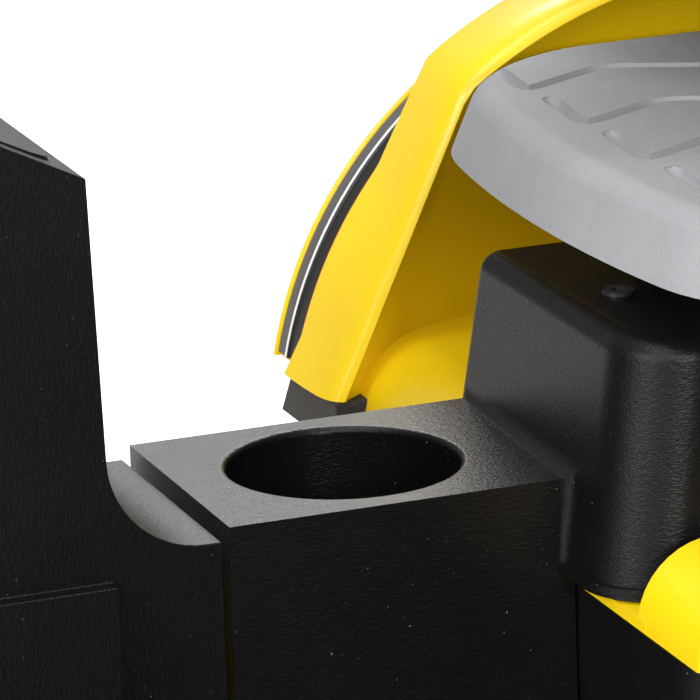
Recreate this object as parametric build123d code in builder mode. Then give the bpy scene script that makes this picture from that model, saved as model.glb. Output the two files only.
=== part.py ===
"""Electric pallet truck, low lift, with a stand-in operator platform.

X points forward, over the drive unit, Y to the operator's left and Z up.
The origin is on the floor, in the middle of the truck's length and width.
All sizes are in millimetres.
"""
from build123d import *
import math
import os

os.makedirs("parts", exist_ok=True)

# ---------------------------------------------------------------- driving dimensions
truck_length = 2770
half_width = 410
fork_length = 1150
fork_width = 185
fork_centre_y = 187.5
fork_top_z = 85
lift_height = 125

cup_x = 745
cup_y = 227
cup_z = 860
cup_r = 42.5
cup_depth = 90

drive_x = 1000
drive_wheel_r = 125
drive_wheel_w = 80
caster_x = 940
caster_y = 285
caster_r = 70
caster_trail = 38

nose_x = truck_length / 2
tail_x = -truck_length / 2
plate_z = 300
plate_t = 14
running_gap = 0.05
body_gap = 0.3


def mirrored(side):
    """Return 1 for a left piece and -1 for a right piece."""
    return 1 if side == "left" else -1


def cross_plane(y):
    """Return the plane across the truck at y, drawn in X and Z, that faces left."""
    return Plane(origin=(0, y, 0), x_dir=(-1, 0, 0), z_dir=(0, 1, 0))


def section_plane(x):
    """Return the plane at x, drawn in Y and Z, that faces forward."""
    return Plane(origin=(x, 0, 0), x_dir=(0, 1, 0), z_dir=(1, 0, 0))


# ---------------------------------------------------------------- frame plate and rails
plate_back_x = 810
plate_front_x = 1330
plate_half_y = 385
plate_shoulder_x = 1150
plate_nose_y = 200
neck_r = 99.7
neck_hole_r = 100

with BuildPart() as drive_plate:
    with BuildSketch(Plane.XY.offset(plate_z)):
        with BuildLine():
            Polyline(
                (plate_back_x, -plate_half_y),
                (plate_shoulder_x, -plate_half_y),
                (plate_front_x, -plate_nose_y),
                (plate_front_x, plate_nose_y),
                (plate_shoulder_x, plate_half_y),
                (plate_back_x, plate_half_y),
                close=True,
            )
        make_face()
        with Locations((drive_x, 0)):
            Circle(neck_hole_r, mode=Mode.SUBTRACT)
    extrude(amount=plate_t)
drive_plate.part.label = "drive_plate"
export_step(drive_plate.part, "parts/drive_plate.step")

plate_top = plate_z + plate_t
slew_outer_r = 145
slew_h = 20
slew_bolts = 12

with BuildPart() as slew_ring:
    with BuildSketch(Plane.XY.offset(plate_top)):
        with Locations((drive_x, 0)):
            Circle(slew_outer_r)
            Circle(neck_hole_r, mode=Mode.SUBTRACT)
            with PolarLocations(122, slew_bolts, start_angle=15):
                Circle(5, mode=Mode.SUBTRACT)
    extrude(amount=slew_h)
slew_ring.part.label = "slew_ring"
export_step(slew_ring.part, "parts/slew_ring.step")

rail_inner_y = 370
rail_t = 22
rail_back_x = 100
rail_low_z = 55
rail_high_z = 125
upright_back_x = 780
upright_front_x = 820
shelf_front_x = 1100
shelf_z = 270

for side in ("left", "right"):
    with BuildPart() as side_rail:
        with BuildSketch(Plane.XZ.offset(-mirrored(side) * (rail_inner_y + rail_t / 2))):
            with BuildLine():
                Polyline(
                    (rail_back_x, rail_low_z),
                    (upright_front_x, rail_low_z),
                    (upright_front_x, shelf_z),
                    (shelf_front_x, shelf_z),
                    (shelf_front_x, plate_z),
                    (upright_back_x, plate_z),
                    (upright_back_x, rail_high_z),
                    (rail_back_x, rail_high_z),
                    close=True,
                )
            make_face()
        extrude(amount=rail_t / 2, both=True)
    side_rail.part.label = f"side_rail_{side}"
    export_step(side_rail.part, f"parts/side_rail_{side}.step")

# ---------------------------------------------------------------- lift frame behind the operator
bulkhead_x = 88
bulkhead_t = 12
bulkhead_half_y = 369
bulkhead_low_z = 55
bulkhead_top_z = 860
post_x = 40
post_y = 300
post_w = 40
post_top_z = 640

with BuildPart() as lift_frame:
    with BuildSketch(section_plane(bulkhead_x)):
        with Locations((0, (bulkhead_low_z + bulkhead_top_z) / 2)):
            RectangleRounded(2 * bulkhead_half_y, bulkhead_top_z - bulkhead_low_z, 40)
    extrude(amount=bulkhead_t)
    with BuildSketch(section_plane(post_x)):
        with Locations((-post_y, (bulkhead_low_z + post_top_z) / 2), (post_y, (bulkhead_low_z + post_top_z) / 2)):
            Rectangle(post_w, post_top_z - bulkhead_low_z)
    extrude(amount=bulkhead_x - post_x)
lift_frame.part.label = "lift_frame"
export_step(lift_frame.part, "parts/lift_frame.step")

cylinder_x = 62
cylinder_r = 22
rod_r = 14
cylinder_low_z = 70
cylinder_top_z = 330
rod_low_z = 198
rod_top_z = 430

with BuildPart() as lift_cylinder:
    with BuildSketch(Plane.XY.offset(cylinder_low_z)):
        with Locations((cylinder_x, 0)):
            Circle(cylinder_r)
    extrude(amount=cylinder_top_z - cylinder_low_z)
    with BuildSketch(Plane.XY.offset(cylinder_low_z)):
        with Locations((cylinder_x + 8, 0)):
            Rectangle(36, 60)
    extrude(amount=12)
    with BuildSketch(Plane.XY.offset(rod_low_z - 3)):
        with Locations((cylinder_x, 0)):
            Circle(rod_r + body_gap)
    extrude(amount=cylinder_top_z - rod_low_z + 3, mode=Mode.SUBTRACT)
lift_cylinder.part.label = "lift_cylinder"
export_step(lift_cylinder.part, "parts/lift_cylinder.step")

with BuildPart() as lift_rod:
    with BuildSketch(Plane.XY.offset(rod_low_z)):
        with Locations((cylinder_x, 0)):
            Circle(rod_r)
    extrude(amount=rod_top_z - rod_low_z)
lift_rod.part.label = "lift_rod"
export_step(lift_rod.part, "parts/lift_rod.step")

# ---------------------------------------------------------------- operator platform
platform_back_x = 100
platform_front_x = 800
platform_half_y = 369
deck_z = 60
deck_t = 8
floor_back_x = 160
floor_front_x = 572
floor_half_y = 362
floor_z = 112
floor_t = 6
mat_t = 10

with BuildPart() as platform_frame:
    with BuildSketch(Plane.XY.offset(deck_z)):
        with Locations(((platform_back_x + platform_front_x) / 2, 0)):
            Rectangle(platform_front_x - platform_back_x, 2 * platform_half_y)
    extrude(amount=deck_t)
    with BuildSketch(Plane.XY.offset(deck_z + deck_t)):
        with Locations((200, 0), (366, 0), (532, 0)):
            Rectangle(30, 640)
    extrude(amount=32)
platform_frame.part.label = "platform_frame"
export_step(platform_frame.part, "parts/platform_frame.step")

floor_x = (floor_back_x + floor_front_x) / 2
floor_len = floor_front_x - floor_back_x

with BuildPart() as floor_plate:
    with BuildSketch(Plane.XY.offset(floor_z)):
        with Locations((floor_x, 0)):
            RectangleRounded(floor_len, 2 * floor_half_y, 30)
    extrude(amount=floor_t)
floor_plate.part.label = "floor_plate"
export_step(floor_plate.part, "parts/floor_plate.step")

with BuildPart() as floor_mat:
    with BuildSketch(Plane.XY.offset(floor_z + floor_t)):
        with Locations((floor_x, 0)):
            RectangleRounded(floor_len - 12, 2 * floor_half_y - 12, 26)
    extrude(amount=mat_t - 3)
    with BuildSketch(Plane.XY.offset(floor_z + floor_t + mat_t - 3)):
        with Locations((floor_x, 0)):
            with GridLocations(30, 0, 12, 1):
                SlotOverall(640, 16, rotation=90)
    extrude(amount=3)
floor_mat.part.label = "floor_mat"
export_step(floor_mat.part, "parts/floor_mat.step")

# ---------------------------------------------------------------- bumper and hood around the drive
bumper_back_x = 640
bumper_wall = 10
bumper_low_z = 40
bumper_top_z = 330
nose_corner_r = 250
hood_back_x = 806
hood_low_z = 332
hood_top_z = 655
hood_wall = 6
hood_taper = 8


def nose_outline(back_x, inset):
    """Draw the truck's plan from back_x to the nose, drawn in by inset."""
    front = nose_x - inset
    edge = half_width - inset
    radius = nose_corner_r - inset
    Line((back_x, -edge), (front - radius, -edge))
    ThreePointArc(
        (front - radius, -edge),
        (front - radius + radius * math.sin(math.pi / 4), -edge + radius - radius * math.cos(math.pi / 4)),
        (front, -edge + radius),
    )
    Line((front, -edge + radius), (front, edge - radius))
    ThreePointArc(
        (front, edge - radius),
        (front - radius + radius * math.sin(math.pi / 4), edge - radius + radius * math.cos(math.pi / 4)),
        (front - radius, edge),
    )
    Line((front - radius, edge), (back_x, edge))
    Line((back_x, edge), (back_x, -edge))


with BuildPart() as nose_bumper:
    with BuildSketch(Plane.XY.offset(bumper_low_z)):
        with BuildLine():
            nose_outline(bumper_back_x, 0)
        make_face()
    extrude(amount=bumper_top_z - bumper_low_z)
    chamfer(nose_bumper.faces().sort_by(Axis.Z)[-1].edges().filter_by(GeomType.LINE, reverse=True), 6)
    with BuildSketch(Plane.XY.offset(bumper_low_z)):
        with BuildLine():
            nose_outline(bumper_back_x - 5, bumper_wall)
        make_face()
    extrude(amount=bumper_top_z - bumper_low_z, mode=Mode.SUBTRACT)
nose_bumper.part.label = "nose_bumper"
export_step(nose_bumper.part, "parts/nose_bumper.step")

with BuildPart() as body_hood:
    with BuildSketch(Plane.XY.offset(hood_low_z)):
        with BuildLine():
            nose_outline(hood_back_x, 8)
        make_face()
    extrude(amount=hood_top_z - hood_low_z, taper=hood_taper)
    fillet(body_hood.faces().sort_by(Axis.Z)[-1].edges(), 45)
    with BuildSketch(Plane.XY.offset(hood_low_z)):
        with BuildLine():
            nose_outline(hood_back_x + hood_wall, 8 + hood_wall)
        make_face()
    extrude(amount=hood_top_z - hood_low_z - 20, taper=hood_taper, mode=Mode.SUBTRACT)
body_hood.part.label = "body_hood"
export_step(body_hood.part, "parts/body_hood.step")

# ---------------------------------------------------------------- console base and spine
base_back_x = 691
base_front_x = 800
base_half_y = 400
base_low_z = 70
base_notch_z = 312
base_top_z = 741
base_wall = 6
pillar_back_x = 580
pillar_half_y = 159
pillar_top_z = 819

with BuildPart() as console_base:
    with BuildSketch(Plane.XY.offset(base_low_z)):
        with Locations(((base_back_x + base_front_x) / 2, 0)):
            Rectangle(base_front_x - base_back_x, 2 * base_half_y)
    extrude(amount=base_top_z - base_low_z)
    with BuildSketch(Plane.XY.offset(base_low_z)):
        with Locations(((pillar_back_x + base_front_x) / 2, 0)):
            Rectangle(base_front_x - pillar_back_x, 2 * pillar_half_y)
    extrude(amount=pillar_top_z - base_low_z)
    fillet(console_base.edges().filter_by(Axis.Z).group_by(Axis.X)[0], 24)
    for back_x, half_y, top_z in ((base_back_x, base_half_y, base_top_z), (pillar_back_x, pillar_half_y, pillar_top_z)):
        with BuildSketch(Plane.XY.offset(base_low_z)):
            with Locations(((back_x + base_front_x) / 2, 0)):
                Rectangle(base_front_x - back_x - 2 * base_wall, 2 * (half_y - base_wall))
        extrude(amount=top_z - base_low_z - base_wall, mode=Mode.SUBTRACT)
    with BuildSketch(Plane.XY.offset(base_low_z)):
        with Locations((base_front_x - base_wall, 0)):
            Rectangle(2 * base_wall + 2, 2 * (base_half_y - base_wall))
    extrude(amount=base_notch_z - base_low_z, mode=Mode.SUBTRACT)
    with BuildSketch(Plane.XY.offset(base_low_z)):
        for side in ("left", "right"):
            with Locations((base_back_x, mirrored(side) * (rail_inner_y + rail_t / 2))):
                Rectangle(30, rail_t + 4)
    extrude(amount=rail_high_z + 2 - base_low_z, mode=Mode.SUBTRACT)
console_base.part.label = "console_base"
export_step(console_base.part, "parts/console_base.step")

spine_low_z = 656
spine_top_z = 850
spine_edge_r = 30
spine_wall = 6
neck_back_x = 900
neck_front_x = 1060
neck_half_y = 118
neck_top_z = 812
pedestal_back_x = 647
pedestal_front_x = 802

with BuildPart() as spine_cover:
    with BuildSketch(section_plane(pillar_back_x)):
        with Locations((0, (pillar_top_z + spine_top_z) / 2)):
            Rectangle(2 * pillar_half_y, spine_top_z - pillar_top_z)
    extrude(amount=pedestal_back_x - pillar_back_x - 1)
    with BuildSketch(section_plane(pedestal_front_x + 1)):
        with Locations((0, (spine_low_z + spine_top_z) / 2)):
            Rectangle(2 * pillar_half_y, spine_top_z - spine_low_z)
    extrude(amount=neck_back_x - pedestal_front_x - 1)
    fillet(spine_cover.edges().filter_by(Axis.X).group_by(Axis.Z)[-1], spine_edge_r)
    with BuildSketch(section_plane(pedestal_back_x - 2)):
        with Locations((0, pillar_top_z + 1)):
            Rectangle(2 * pillar_half_y - 60, 2)
    extrude(amount=pedestal_front_x + 4 - pedestal_back_x)
    with BuildSketch(section_plane(neck_back_x)):
        with Locations((0, (spine_low_z + neck_top_z) / 2)):
            Rectangle(2 * neck_half_y, neck_top_z - spine_low_z)
    extrude(amount=neck_front_x - neck_back_x)
    with BuildSketch(section_plane(pedestal_front_x + 1 + spine_wall)):
        with Locations((0, (spine_low_z + spine_top_z) / 2 - spine_edge_r)):
            Rectangle(2 * (pillar_half_y - spine_wall), spine_top_z - spine_low_z - spine_edge_r)
    extrude(amount=neck_back_x - pedestal_front_x - 1 - 2 * spine_wall, mode=Mode.SUBTRACT)
    with BuildSketch(section_plane(neck_back_x - spine_wall - 1)):
        with Locations((0, (spine_low_z + neck_top_z) / 2 - spine_wall)):
            Rectangle(2 * (neck_half_y - spine_wall), neck_top_z - spine_low_z)
    extrude(amount=neck_front_x - neck_back_x + 1, mode=Mode.SUBTRACT)
spine_cover.part.label = "spine_cover"
export_step(spine_cover.part, "parts/spine_cover.step")

# ---------------------------------------------------------------- cowl over the spine
cowl_back_x = 902
cowl_wide_x = 971
cowl_tip_x = 1125
cowl_low_z = 816
cowl_axis_z = 798
cowl_rim_r = 168
cowl_wide_r = 178
cowl_wall = 7
cowl_lean = 33
cowl_length = 300
cowl_reach = 2 * cowl_wide_r
recess_depth = 26
recess_half_y = 132
recess_rise = 138
ring_t = 3
ring_gap = 0.5
ring_w = 11.5
ring_open_y = 65


def dome_section(wall, rim_x):
    """Draw half of the cowl's section along the truck, above the axis it is turned about."""
    wide_r = cowl_wide_r - wall
    tip_x = cowl_tip_x - wall
    bulge = math.sin(math.pi / 4)
    Polyline((rim_x, 0), (rim_x, cowl_rim_r - wall), (cowl_wide_x, wide_r))
    ThreePointArc(
        (cowl_wide_x, wide_r),
        (cowl_wide_x + (tip_x - cowl_wide_x) * bulge, wide_r * bulge),
        (tip_x, 0),
    )
    Line((tip_x, 0), (rim_x, 0))


cowl_plane = Plane(origin=(0, 0, cowl_axis_z), x_dir=(1, 0, 0), z_dir=(0, -1, 0))
cowl_axis = Axis((0, 0, cowl_axis_z), (1, 0, 0))


def cut_cowl():
    """Cut a cowl body level at its foot and along the leaning rim, and leave what is in front of it."""
    rim_top_x = cowl_back_x + cowl_lean
    with BuildSketch(Plane.XZ) as blank:
        with BuildLine():
            Polyline(
                (cowl_back_x, cowl_low_z),
                (rim_top_x, cowl_axis_z + cowl_wide_r),
                (rim_top_x, cowl_axis_z + cowl_reach),
                (cowl_back_x + cowl_length, cowl_axis_z + cowl_reach),
                (cowl_back_x + cowl_length, cowl_low_z),
                close=True,
            )
        make_face()
    extrude(blank.sketch, amount=cowl_reach, both=True, mode=Mode.INTERSECT)


recess_back_x = cowl_back_x + cowl_lean + recess_depth

with BuildPart() as cowl:
    with BuildSketch(cowl_plane):
        with BuildLine():
            dome_section(0, cowl_back_x - 1)
        make_face()
    revolve(axis=cowl_axis)
    cut_cowl()
    with BuildSketch(cowl_plane):
        with BuildLine():
            dome_section(cowl_wall, recess_back_x)
        make_face()
    revolve(axis=cowl_axis, mode=Mode.SUBTRACT)
    with BuildSketch(Plane.XZ):
        with BuildLine():
            Polyline(
                (cowl_back_x - 1, cowl_low_z - 1),
                (cowl_back_x - 1 + cowl_lean, cowl_axis_z + recess_rise),
                (recess_back_x - 6, cowl_axis_z + recess_rise),
                (recess_back_x - 6, cowl_low_z - 1),
                close=True,
            )
        make_face()
    extrude(amount=recess_half_y, both=True, mode=Mode.SUBTRACT)
cowl.part.label = "cowl"
export_step(cowl.part, "parts/cowl.step")

with BuildPart() as cowl_trim:
    with BuildSketch(cowl_plane):
        with Locations((cowl_wide_x, cowl_wide_r + ring_gap + ring_t / 2)):
            Rectangle(ring_w, ring_t)
    revolve(axis=cowl_axis)
    cut_cowl()
    with BuildSketch(Plane.XY.offset(cowl_axis_z + cowl_wide_r / 2)):
        with Locations((cowl_wide_x, 0)):
            Rectangle(4 * ring_w, 2 * ring_open_y)
    extrude(amount=cowl_wide_r, mode=Mode.SUBTRACT)
cowl_trim.part.label = "cowl_trim"
export_step(cowl_trim.part, "parts/cowl_trim.step")

skirt_low_z = 802
skirt_back_x = cowl_back_x + 6
skirt_front_x = cowl_wide_x + 60

with BuildPart() as cowl_skirt:
    for side in ("left", "right"):
        flip = mirrored(side)
        with BuildSketch(Plane.XY.offset(skirt_low_z)):
            with BuildLine():
                Polyline(
                    (skirt_back_x, flip * 134),
                    (skirt_back_x, flip * 163),
                    (cowl_wide_x, flip * 170),
                    (skirt_front_x, flip * 148),
                    (skirt_front_x, flip * 126),
                    close=True,
                )
            make_face()
        extrude(amount=cowl_low_z - skirt_low_z)
cowl_skirt.part.label = "cowl_skirt"
export_step(cowl_skirt.part, "parts/cowl_skirt.step")

# ---------------------------------------------------------------- black console mouldings
box_inner_y = 160
box_inset_y = 140
box_outer_y = 290
box_front_x = 799
box_low_z = 742
pedestal_low_z = 822
pedestal_top_z = 915
pedestal_half_y = 161
pedestal_corner_r = 26
pedestal_draft = 8

box_mid_x = (base_back_x + box_front_x) / 2
box_len = box_front_x - base_back_x

with BuildPart() as console_moulding:
    with BuildSketch(Plane.XY.offset(pedestal_low_z)):
        with Locations(((pedestal_back_x + pedestal_front_x) / 2, 0)):
            RectangleRounded(pedestal_front_x - pedestal_back_x, 2 * pedestal_half_y, pedestal_corner_r)
    extrude(amount=pedestal_top_z - pedestal_low_z, taper=pedestal_draft)
    fillet(console_moulding.faces().sort_by(Axis.Z)[-1].edges(), 7)
    for side in ("left", "right"):
        flip = mirrored(side)
        with BuildSketch(Plane.XY.offset(box_low_z)):
            with Locations((box_mid_x, flip * (box_inner_y + box_outer_y) / 2)):
                Rectangle(box_len, box_outer_y - box_inner_y)
        extrude(amount=cup_z - box_low_z)
        with BuildSketch(Plane.XY.offset(pedestal_low_z)):
            with Locations((box_mid_x, flip * (box_inset_y + box_outer_y) / 2)):
                Rectangle(box_len, box_outer_y - box_inset_y)
        extrude(amount=cup_z - pedestal_low_z)
        with BuildSketch(Plane.XY.offset(cup_z - cup_depth)):
            with Locations((cup_x, flip * cup_y)):
                Circle(cup_r)
        extrude(amount=cup_depth, mode=Mode.SUBTRACT)
console_moulding.part.label = "console_moulding"
export_step(console_moulding.part, "parts/console_moulding.step")

column_inner_y = 333
column_outer_y = 408
column_front_x = 835
column_low_z = 742
shelf_edge_y = 293
shelf_top_z = 855
cove_r = 34.5
column_top_z = 992
column_crest_z = 1026
column_lean = 4

for side in ("left", "right"):
    flip = mirrored(side)
    with BuildPart() as column:
        with BuildSketch(section_plane(base_back_x)):
            with BuildLine():
                Line((flip * shelf_edge_y, column_low_z), (flip * shelf_edge_y, shelf_top_z))
                Line((flip * shelf_edge_y, shelf_top_z), (flip * (column_inner_y - cove_r), shelf_top_z))
                ThreePointArc(
                    (flip * (column_inner_y - cove_r), shelf_top_z),
                    (
                        flip * (column_inner_y - cove_r + cove_r * math.sin(math.pi / 4)),
                        shelf_top_z + cove_r - cove_r * math.cos(math.pi / 4),
                    ),
                    (flip * column_inner_y, shelf_top_z + cove_r),
                )
                Polyline(
                    (flip * column_inner_y, shelf_top_z + cove_r),
                    (flip * (column_inner_y + column_lean), column_top_z),
                    (flip * (column_outer_y - column_lean), column_crest_z),
                    (flip * column_outer_y, column_low_z),
                    (flip * shelf_edge_y, column_low_z),
                )
            make_face()
        extrude(amount=box_front_x - base_back_x)
        with BuildSketch(section_plane(box_front_x)):
            with BuildLine():
                Polyline(
                    (flip * column_inner_y, column_low_z),
                    (flip * column_inner_y, shelf_top_z + cove_r),
                    (flip * (column_inner_y + column_lean), column_top_z),
                    (flip * (column_outer_y - column_lean), column_crest_z),
                    (flip * column_outer_y, column_low_z),
                    close=True,
                )
            make_face()
        extrude(amount=column_front_x - box_front_x)
        with BuildSketch(Plane.XY.offset(column_low_z)):
            with Locations((base_back_x - 3, flip * 370)):
                Rectangle(6, 76)
        extrude(amount=104)
        if side == "right":
            slope = math.atan2(column_crest_z - column_top_z, column_outer_y - column_inner_y - 2 * column_lean)
            top_normal = (0, math.sin(slope), math.cos(slope))
            top_y = -(column_inner_y + column_outer_y) / 2
            top_mid_z = (column_top_z + column_crest_z) / 2
            for x, hole_r, depth in ((735, 12.3, 24), (790, 5.3, 18)):
                with BuildSketch(Plane(origin=(x, top_y, top_mid_z), x_dir=(1, 0, 0), z_dir=top_normal)):
                    Circle(hole_r)
                extrude(amount=-depth, mode=Mode.SUBTRACT)
    column.part.label = f"column_{side}"
    export_step(column.part, f"parts/column_{side}.step")

pad_back_x = 588
pad_front_x = 905
pad_half_y = 149
pad_low_z = 938
pad_top_z = 965
pad_side_r = 650
pad_mid_x = 750
pad_flare = 20
spacer_x = 723

with BuildPart() as pad_spacer:
    with BuildSketch(Plane.XY.offset(pedestal_top_z)):
        with Locations((spacer_x, 0)):
            RectangleRounded(120, 200, 12)
    extrude(amount=pad_low_z - pedestal_top_z)
pad_spacer.part.label = "pad_spacer"
export_step(pad_spacer.part, "parts/pad_spacer.step")

with BuildPart() as tread_pad:
    with BuildSketch(Plane.XY.offset(pad_low_z)) as pad_plan:
        with Locations((pad_mid_x, -(pad_side_r - pad_half_y))):
            Circle(pad_side_r)
        with Locations((pad_mid_x, pad_side_r - pad_half_y)):
            Circle(pad_side_r, mode=Mode.INTERSECT)
        with Locations(((pad_back_x + pad_front_x) / 2, 0)):
            Rectangle(pad_front_x - pad_back_x, 2 * pad_half_y, mode=Mode.INTERSECT)
        fillet(pad_plan.vertices(), 62)
    extrude(amount=pad_top_z - pad_low_z, taper=pad_flare)
    fillet(tread_pad.faces().sort_by(Axis.Z)[-1].edges(), 8)
tread_pad.part.label = "tread_pad"
export_step(tread_pad.part, "parts/tread_pad.step")

screw_x = 726
screw_y = 126
with BuildPart() as console_screws:
    with BuildSketch(Plane.XY.offset(pedestal_top_z)):
        with Locations((screw_x, -screw_y), (screw_x, screw_y)):
            Circle(6)
            RegularPolygon(3, 6, mode=Mode.SUBTRACT)
    extrude(amount=1.5)
console_screws.part.label = "console_screws"
export_step(console_screws.part, "parts/console_screws.step")

# ---------------------------------------------------------------- drive unit, turns under the plate
ring_z = 336
ring_t = 16
ring_teeth = 84
pinion_teeth = 21
gear_module = 3
pinion_x = drive_x + gear_module * (ring_teeth + pinion_teeth) / 2


def gear_points(centre_x, teeth, phase):
    """Return the corners of a spur gear with straight-sided teeth and some backlash."""
    pitch_r = gear_module * teeth / 2
    pitch_angle = 2 * math.pi / teeth
    points = []
    for tooth in range(teeth):
        middle = phase + tooth * pitch_angle
        for share, radius in (
            (-0.30, pitch_r - 1.15 * gear_module),
            (-0.11, pitch_r + 0.8 * gear_module),
            (0.11, pitch_r + 0.8 * gear_module),
            (0.30, pitch_r - 1.15 * gear_module),
        ):
            angle = middle + share * pitch_angle
            points.append((centre_x + radius * math.cos(angle), radius * math.sin(angle)))
    return points


case_inner_y = 47
case_outer_y = 105
case_low_r = 60
yoke_r = 112
yoke_low_z = 262
yoke_top_z = 294
axle_r = 25

with BuildPart() as gearbox:
    with BuildSketch(cross_plane(case_inner_y)):
        with Locations((-drive_x, drive_wheel_r)):
            Circle(case_low_r)
        with Locations((-drive_x, yoke_low_z)):
            Circle(75)
        make_hull()
        with Locations((-drive_x, yoke_top_z + 50)):
            Rectangle(200, 100, mode=Mode.SUBTRACT)
        with Locations((-drive_x, drive_wheel_r)):
            Circle(axle_r + running_gap, mode=Mode.SUBTRACT)
    extrude(amount=case_outer_y - case_inner_y)
    with BuildSketch(cross_plane(case_outer_y - 10)):
        with Locations((-drive_x, drive_wheel_r)):
            Circle(case_low_r - 8)
    extrude(amount=16)
    with BuildSketch(Plane.XY.offset(yoke_low_z)):
        with Locations((drive_x, 0)):
            Circle(yoke_r)
    extrude(amount=yoke_top_z - yoke_low_z)
    with BuildSketch(Plane.XY.offset(yoke_top_z)):
        with Locations((drive_x, 0)):
            Circle(neck_r)
    extrude(amount=ring_z - yoke_top_z)
gearbox.part.label = "gearbox"
export_step(gearbox.part, "parts/gearbox.step")

with BuildPart() as ring_gear:
    with BuildSketch(Plane.XY.offset(ring_z)):
        with BuildLine():
            Polyline(*gear_points(drive_x, ring_teeth, 0), close=True)
        make_face()
        with Locations((drive_x, 0)):
            Circle(40, mode=Mode.SUBTRACT)
            with PolarLocations(92, 8, start_angle=22.5):
                Circle(5.5, mode=Mode.SUBTRACT)
    extrude(amount=ring_t)
ring_gear.part.label = "ring_gear"
export_step(ring_gear.part, "parts/ring_gear.step")

motor_r = 74
motor_low_z = ring_z + ring_t
motor_top_z = 540
brake_top_z = 580

with BuildPart() as traction_motor:
    with BuildSketch(Plane.XY.offset(motor_low_z)):
        with Locations((drive_x, 0)):
            Circle(motor_r)
            with PolarLocations(motor_r + 2, 24):
                Rectangle(12, 4)
    extrude(amount=motor_top_z - motor_low_z)
traction_motor.part.label = "traction_motor"
export_step(traction_motor.part, "parts/traction_motor.step")

with BuildPart() as motor_brake:
    with BuildSketch(Plane.XY.offset(motor_top_z)):
        with Locations((drive_x, 0)):
            Circle(58)
    extrude(amount=brake_top_z - motor_top_z)
    fillet(motor_brake.faces().sort_by(Axis.Z)[-1].edges(), 6)
motor_brake.part.label = "motor_brake"
export_step(motor_brake.part, "parts/motor_brake.step")

hub_r = 85
hub_half_w = 34
hub_boss_y = 45
axle_end_y = 90
wheel_bolt_count = 5
wheel_bolt_pcr = 48

with BuildPart() as drive_hub:
    with BuildSketch(cross_plane(-hub_half_w)):
        with Locations((-drive_x, drive_wheel_r)):
            Circle(hub_r)
    extrude(amount=2 * hub_half_w)
    with BuildSketch(cross_plane(-hub_half_w)):
        with Locations((-drive_x, drive_wheel_r)):
            Circle(66)
    extrude(amount=28, mode=Mode.SUBTRACT)
    with BuildSketch(cross_plane(hub_half_w)):
        with Locations((-drive_x, drive_wheel_r)):
            Circle(44)
    extrude(amount=hub_boss_y - hub_half_w)
    with BuildSketch(cross_plane(hub_boss_y)):
        with Locations((-drive_x, drive_wheel_r)):
            Circle(axle_r)
    extrude(amount=axle_end_y - hub_boss_y)
drive_hub.part.label = "drive_hub"
export_step(drive_hub.part, "parts/drive_hub.step")

with BuildPart() as drive_tyre:
    with BuildSketch(cross_plane(-drive_wheel_w / 2)):
        with Locations((-drive_x, drive_wheel_r)):
            Circle(drive_wheel_r)
            Circle(hub_r, mode=Mode.SUBTRACT)
    extrude(amount=drive_wheel_w)
    fillet(drive_tyre.edges().filter_by(GeomType.CIRCLE).sort_by(SortBy.RADIUS)[-2:], 5)
drive_tyre.part.label = "drive_tyre"
export_step(drive_tyre.part, "parts/drive_tyre.step")

with BuildPart() as wheel_bolts:
    with BuildSketch(cross_plane(-hub_half_w + 18)):
        with Locations((-drive_x, drive_wheel_r)):
            with PolarLocations(wheel_bolt_pcr, wheel_bolt_count, start_angle=90):
                RegularPolygon(10, 6)
    extrude(amount=10)
wheel_bolts.part.label = "wheel_bolts"
export_step(wheel_bolts.part, "parts/wheel_bolts.step")

# ---------------------------------------------------------------- steering motor with its bracket and pinion
pinion_shaft_r = 8
pinion_top_z = 376
steer_body_low_z = 358
steer_body_top_z = 470
bracket_x = pinion_x + 44

with BuildPart() as steer_motor:
    with BuildSketch(Plane.XY.offset(plate_top)):
        with Locations((bracket_x + 15, 0)):
            Rectangle(30, 80)
    extrude(amount=steer_body_low_z - plate_top)
    with BuildSketch(Plane.XY.offset(steer_body_low_z)):
        with Locations((pinion_x + 18, 0)):
            Rectangle(112, 80)
    extrude(amount=10)
    with BuildSketch(Plane.XY.offset(steer_body_low_z + 10)):
        with Locations((pinion_x, 0)):
            Circle(36)
    extrude(amount=steer_body_top_z - steer_body_low_z - 10)
    with BuildSketch(Plane.XY.offset(steer_body_low_z)):
        with Locations((pinion_x, 0)):
            Circle(pinion_shaft_r + running_gap)
    extrude(amount=pinion_top_z - steer_body_low_z + 2, mode=Mode.SUBTRACT)
steer_motor.part.label = "steer_motor"
export_step(steer_motor.part, "parts/steer_motor.step")

with BuildPart() as steer_pinion:
    with BuildSketch(Plane.XY.offset(ring_z)):
        with BuildLine():
            Polyline(*gear_points(pinion_x, pinion_teeth, math.pi + math.pi / pinion_teeth), close=True)
        make_face()
    extrude(amount=ring_t)
    with BuildSketch(Plane.XY.offset(ring_z + ring_t)):
        with Locations((pinion_x, 0)):
            Circle(pinion_shaft_r)
    extrude(amount=pinion_top_z - ring_z - ring_t)
steer_pinion.part.label = "steer_pinion"
export_step(steer_pinion.part, "parts/steer_pinion.step")

# ---------------------------------------------------------------- pump and controller on the plate
with BuildPart() as pump_unit:
    with BuildSketch(Plane.XY.offset(plate_top)):
        with Locations((905, 235)):
            Circle(50)
    extrude(amount=180)
    with BuildSketch(Plane.XY.offset(plate_top)):
        with Locations((1010, 240)):
            RectangleRounded(90, 120, 12)
    extrude(amount=130)
    with BuildSketch(Plane.XY.offset(plate_top)):
        with Locations((955, 237)):
            Rectangle(60, 60)
    extrude(amount=70)
pump_unit.part.label = "pump_unit"
export_step(pump_unit.part, "parts/pump_unit.step")

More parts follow.
